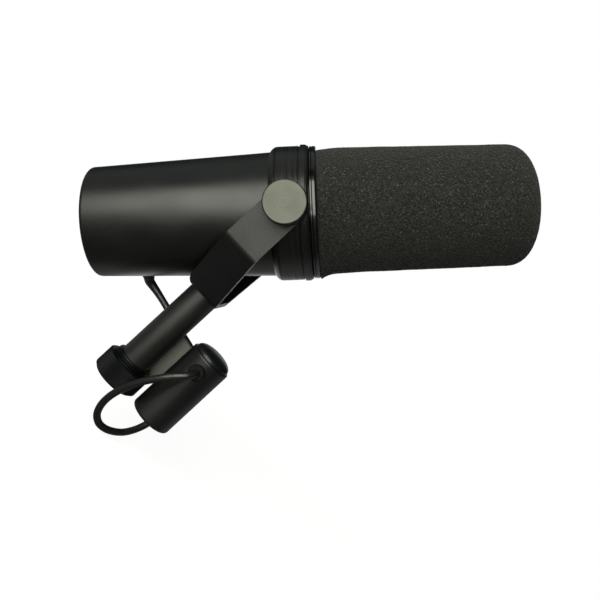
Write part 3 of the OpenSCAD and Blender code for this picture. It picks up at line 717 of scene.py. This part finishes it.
class MICROPHONE_OT_cable(Maker, bpy.types.Operator):
    """Makes the looped cable between the connector and the barrel"""

    bl_idname = "microphone.cable"
    bl_label = "Cable"

    steps, sides = 5, 18
    relief_length, relief_swell = 14 * MM, 0.9 * MM

    def execute(self, context):
        route = [Vector(point) * MM for point in CABLE_ROUTE]
        path = self.smooth_path(route, self.steps)
        radius = self.sizes.cable_diameter / 2
        mesh = closed_mesh("cable_jacket", *self.tube(path, radius, self.sides), Matrix.Identity(4))
        rubber = soft_rubber("Cable rubber", self.colors.cable, rough=0.38, gloss=1.0)
        piece = add_piece("cable_jacket", mesh, rubber)
        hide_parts("cable")
        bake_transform(piece)
        length = sum((b - a).length for a, b in zip(path, path[1:]))
        return {"FINISHED"}

    def smooth_path(self, route, parts):
        """Points on a smooth curve through the route."""
        last = len(route) - 1
        path = []
        for i in range(last):
            a, b, c, d = route[max(i - 1, 0)], route[i], route[i + 1], route[min(i + 2, last)]
            bow, twist = 2 * a - 5 * b + 4 * c - d, 3 * b - a - 3 * c + d
            for k in range(parts):
                t = k / parts
                path.append(b + 0.5 * t * (c - a + t * (bow + t * twist)))
        return path + [route[last]]

    def tube(self, path, radius, sides):
        """A closed tube along the path, thickened by a strain relief at the gland."""
        count = len(path)
        ahead = [(path[min(i + 1, count - 1)] - path[max(i - 1, 0)]).normalized() for i in range(count)]
        ahead[0], ahead[-1] = Vector((0, -1, 0)), -GLAND_OUT
        side = Vector((1, 0, 0))
        vertices = []
        for point, along in zip(path, ahead):
            side = (side - side.dot(along) * along).normalized()
            other = along.cross(side)
            near = max(0.0, 1 - (point - path[-1]).length / self.relief_length)
            thick = radius + self.relief_swell * near ** 2
            vertices += [point + thick * (math.cos(a) * side + math.sin(a) * other)
                         for a in (math.tau * k / sides for k in range(sides))]
        faces = []
        for i in range(count - 1):
            low, high = i * sides, (i + 1) * sides
            for k in range(sides):
                n = (k + 1) % sides
                faces.append((low + k, low + n, high + n, high + k))
        faces.append(tuple(range(sides)))
        faces.append(tuple((count - 1) * sides + k for k in range(sides)))
        return vertices, faces


class MICROPHONE_OT_foam(Maker, bpy.types.Operator):
    """Makes the foam windscreen and the liner inside the cage"""

    bl_idname = "microphone.foam"
    bl_label = "Foam"

    # Millimetres along the microphone's axis from the pivot, and radii
    base, front, round_length = 11.25, 105.0, 14.4
    base_r, front_r, power = 27.0, 26.2, 2.5
    # How far the base draws in, and the height above the base where it does
    base_edge = [(1.05, 0.0), (0.85, 0.2), (0.7, 0.8), (0.45, 3.0), (0.2, 5.6), (0.0, 9.0)]
    bore_r, bore_corner, bore_end = 20.75, 0.7, 95.2
    sides, liner_sides = 300, 96
    flare_fade, droop_center = 3.4, 58
    pore_scale, pore_middle, wave_scale, wave_height = 0.8, 0.7, 0.11, 0.12

    def execute(self, context):
        foam = open_foam("Windscreen foam", self.colors.foam)
        piece = add_piece("windscreen_foam", self.windscreen(), foam)
        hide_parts("windscreen")
        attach(piece, "windscreen")
        inner = open_foam("Liner foam", scaled(self.colors.foam, 0.8), pore=900.0)
        liner = add_piece("liner_foam", self.liner(), inner)
        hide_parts("foam_liner")
        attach(liner, "microphone")
        return {"FINISHED"}

    def windscreen(self):
        start = self.front - self.round_length
        bend = 2 / self.power
        nose = [(self.front_r * math.cos(a) ** bend, start + self.round_length * math.sin(a) ** bend)
                for a in (math.radians(2.0 * k) for k in range(45))]
        skin = [(self.base_r - inset, self.base + rise) for inset, rise in self.base_edge]
        skin = spaced(skin + nose, 0.6) + [(0.0, self.front)]
        r, z = self.bore_r, self.bore_end
        inside = [(0.0, z), (r - self.bore_corner, z), (r, z - self.bore_corner), (r, self.base)]
        vertices, faces = turned(skin + inside, self.sides)
        outer = (len(skin) - 1) * self.sides + 1
        vertices = [self.shaped(Vector(v)) if i < outer else Vector(v) for i, v in enumerate(vertices)]
        return closed_mesh("windscreen_foam", [v * MM for v in vertices], faces, MIC_PLACE)

    def shaped(self, point):
        """A point of the plain skin with its droop, spread base and pores."""
        radius = math.hypot(point.x, point.y)
        outward = Vector((point.x, point.y, 0)) / radius if radius > 1 else Vector((0, 0, 1))
        low = max(0.0, point.x / radius) ** 2 if radius > 1 else 0.0
        rise = point.z - self.base
        point = point + outward * (self.sizes.foam_flare / MM * low * math.exp(-rise / self.flare_fade))
        point.x += math.tan(self.sizes.foam_lean) * (point.z - self.droop_center)
        if point.z > self.front - self.round_length:
            outward = (outward + Vector((0, 0, (point.z - self.front + self.round_length) / 9))).normalized()
        depth = self.sizes.pore_depth / MM
        pit = noise.voronoi(point * self.pore_scale)[0][0]
        wave = noise.noise(point * self.wave_scale)
        return point + outward * (depth * (pit - self.pore_middle) + self.wave_height * wave)

    def liner(self):
        skin = spaced([(17.6, 12.0), (19.1, 12.0), (19.1, 93.0), (0.0, 93.0)], 1.6)
        inside = spaced([(0.0, 91.4), (17.6, 91.4), (17.6, 13.0)], 3.0)
        vertices, faces = turned(skin + inside, self.liner_sides)
        shrunk = []
        for v in (Vector(v) for v in vertices):
            radius = math.hypot(v.x, v.y)
            if radius > 18:
                v -= Vector((v.x, v.y, 0)) / radius * 0.25 * noise.voronoi(v * 0.6)[0][0]
            shrunk.append(v * MM)
        return closed_mesh("liner_foam", shrunk, faces, MIC_PLACE)


class MICROPHONE_OT_knurls(Maker, bpy.types.Operator):
    """Cuts the diamond knurl on the stand nut and on both knobs"""

    bl_idname = "microphone.knurls"
    bl_label = "Knurls"

    nut_start, knob_start, face_depth = 1.0 * MM, 40.7 * MM, 0.25 * MM

    def execute(self, context):
        tree = knurl_tree()
        black = satin_paint("Nut black", self.colors.nut, rough=0.45, gloss=0.28, grain=1800.0)
        place = Matrix.Translation((0, 0, self.nut_start))
        band = knurl("nut_knurl", tree, black, place, teeth=self.sizes.nut_teeth, rows=23,
                     radius=10.87 * MM, length=8.6 * MM, depth=0.22 * MM)
        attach(band, "stand_nut")
        metal = faced_metal("Knob metal", scaled(self.colors.knob, 0.97), PIVOT)
        edge = satin_paint("Knob rim black", self.colors.nut, rough=0.5, gloss=0.3, grain=1800.0)
        for body, side in (("near_knob", -1), ("far_knob", 1)):
            turn = Matrix.Rotation(-side * math.pi / 2, 4, "X")
            place = Matrix.Translation(PIVOT) @ turn @ Matrix.Translation((0, 0, self.knob_start))
            rim = knurl(f"{body}_rim", tree, edge, place, teeth=self.sizes.knob_teeth, rows=19,
                        radius=8.32 * MM, length=6.9 * MM, depth=0.16 * MM)
            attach(rim, body)
            self.two_tone(NODES[body], metal, edge)
        NODES["stand_nut"].data.materials.clear()
        NODES["stand_nut"].data.materials.append(black)
        return {"FINISHED"}

    def two_tone(self, node, face, rim):
        """Grey on the knob's outer face, black on its rim and back."""
        mesh = node.data
        mesh.materials.clear()
        mesh.materials.append(rim)
        mesh.materials.append(face)
        reach = max(abs(v.co.y) for v in mesh.vertices)
        for polygon in mesh.polygons:
            polygon.material_index = int(abs(polygon.center.y) > reach - self.face_depth)


class MICROPHONE_OT_sheet_metal(Maker, bpy.types.Operator):
    """Breaks the edges of the yoke and of the connector bracket"""

    bl_idname = "microphone.sheet_metal"
    bl_label = "Sheet metal"

    def execute(self, context):
        sprayed = {"grain": 2200.0, "relief": 0.00003}
        paint = satin_paint("Yoke paint", self.colors.yoke, rough=0.42, gloss=0.6, **sprayed)
        grey = satin_paint("Bracket paint", self.colors.bracket, rough=0.5, gloss=0.8, **sprayed)
        sheets = (("yoke", paint, "yoke_paint"), ("connector_bracket", grey, "bracket_grey"))
        for node, material, slot in sheets:
            piece = softened(node, self.sizes.edge_round, material, f"{node}_sheet")
            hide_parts(node)
            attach(piece, "mount")
        return {"FINISHED"}


class MICROPHONE_OT_finishes(Maker, bpy.types.Operator):
    """Gives the turned, moulded and machined pieces their finishes"""

    bl_idname = "microphone.finishes"
    bl_label = "Finishes"

    def execute(self, context):
        colors = self.colors
        steel = bare_metal("Steel", (0.5, 0.5, 0.49))
        dark_steel = bare_metal("Blackened steel", (0.05, 0.05, 0.052), rough=0.4)
        brass = bare_metal("Brass", (0.62, 0.44, 0.17), rough=0.28)
        rubber = soft_rubber("Moulded rubber", (0.008, 0.008, 0.008), rough=0.5, gloss=0.4)
        plastic = moulded_plastic("Black plastic", (0.012, 0.012, 0.013))
        dressed = {
            satin_paint("Barrel paint", colors.barrel, rough=0.385): ["barrel"],
            satin_paint("Rear plate paint", scaled(colors.barrel, 0.8), rough=0.5, gloss=0.6): ["rear_plate"],
            turned_paint("Collar paint", colors.collar, AXIS, PIVOT, rough=0.33, gloss=0.72): ["collar"],
            gloss_lacquer("Ring lacquer", colors.ring): ["front_ring"],
            satin_paint("Cage paint", (0.02, 0.02, 0.02), gloss=0.6): ["grille_cage"],
            satin_paint("Post paint", colors.post): ["post"],
            satin_paint("Connector finish", colors.connector, rough=0.36, gloss=0.7, grain=1800.0,
                        relief=0.00001): ["connector_shell", "connector_cap"],
            steel: ["board_screws", "insert_screw", "pivot_studs", "lock_washers", "magnet_cup", "pole_piece",
                    "cartridge_housing", "cartridge_cap", "nut_retainer"],
            dark_steel: ["rear_plate_screws", "bracket_screws", "post_screw"],
            brass: ["board_standoffs", "inner_washers", "pivot_sleeves", "outer_washers", "contact_pins"],
            rubber: ["shock_mounts", "cable_gland", "friction_washers"],
            soft_rubber("Grommet rubber", (0.003, 0.0033, 0.0036), rough=0.6, gloss=0.25): [
                "connector_grommet"],
            plastic: ["switch_bodies", "connector_insert", "fitted_washers", "cartridge_carrier"],
            moulded_plastic("Capacitor sleeve", (0.02, 0.05, 0.16)): ["board_parts"],
            moulded_plastic("Slider white", (0.6, 0.6, 0.55)): ["bass_slider", "presence_slider"],
            moulded_plastic("Red wire", (0.4, 0.03, 0.02)): ["cartridge_leads"],
            moulded_plastic("White wire", (0.7, 0.7, 0.65)): ["output_leads"],
            moulded_plastic("Thin film", (0.6, 0.57, 0.4), rough=0.2): ["diaphragm"],
            circuit_laminate("Board laminate", (0.015, 0.09, 0.035)): ["circuit_board"],
            bare_metal("Varnished iron", (0.09, 0.07, 0.05), rough=0.45): ["transformer"],
            bare_metal("Magnet iron", (0.16, 0.16, 0.17), rough=0.5): ["magnet"],
            wound_wire("Copper coil", (0.6, 0.24, 0.1), AXIS, PIVOT): ["voice_coil"],
        }
        for material, names in dressed.items():
            for name in names:
                NODES[name].data.materials.clear()
                NODES[name].data.materials.append(material)
        return {"FINISHED"}


OPERATORS = (
    MICROPHONE_OT_stage, MICROPHONE_OT_cable, MICROPHONE_OT_foam, MICROPHONE_OT_knurls,
    MICROPHONE_OT_sheet_metal, MICROPHONE_OT_finishes,
)


class MICROPHONE_PT_panel(bpy.types.Panel):
    """Lists the microphone's settings and makers"""

    bl_idname = "MICROPHONE_PT_panel"
    bl_label = "Microphone"
    bl_space_type = "VIEW_3D"
    bl_region_type = "UI"
    bl_category = "Microphone"

    def draw(self, context):
        for operator in OPERATORS:
            self.layout.operator(operator.bl_idname)
        for group in SETTINGS:
            box = self.layout.box()
            settings = getattr(context.scene, group)
            for name in settings.bl_rna.properties.keys():
                if name not in {"rna_type", "name"}:
                    box.prop(settings, name)


SETTINGS = {
    "microphone_colors": MicrophoneColors,
    "microphone_sizes": MicrophoneSizes,
    "microphone_stage": MicrophoneStage,
}


def register():
    for cls in (*SETTINGS.values(), *OPERATORS, MICROPHONE_PT_panel):
        bpy.utils.register_class(cls)
    for name, cls in SETTINGS.items():
        setattr(bpy.types.Scene, name, PointerProperty(type=cls))


def unregister():
    for name in SETTINGS:
        delattr(bpy.types.Scene, name)
    for cls in (MICROPHONE_PT_panel, *reversed(OPERATORS), *SETTINGS.values()):
        bpy.utils.unregister_class(cls)


def main():
    register()
    bpy.ops.microphone.stage()
    bpy.ops.microphone.cable()
    bpy.ops.microphone.foam()
    bpy.ops.microphone.knurls()
    bpy.ops.microphone.sheet_metal()
    bpy.ops.microphone.finishes()


if __name__ == "__main__":
    main()
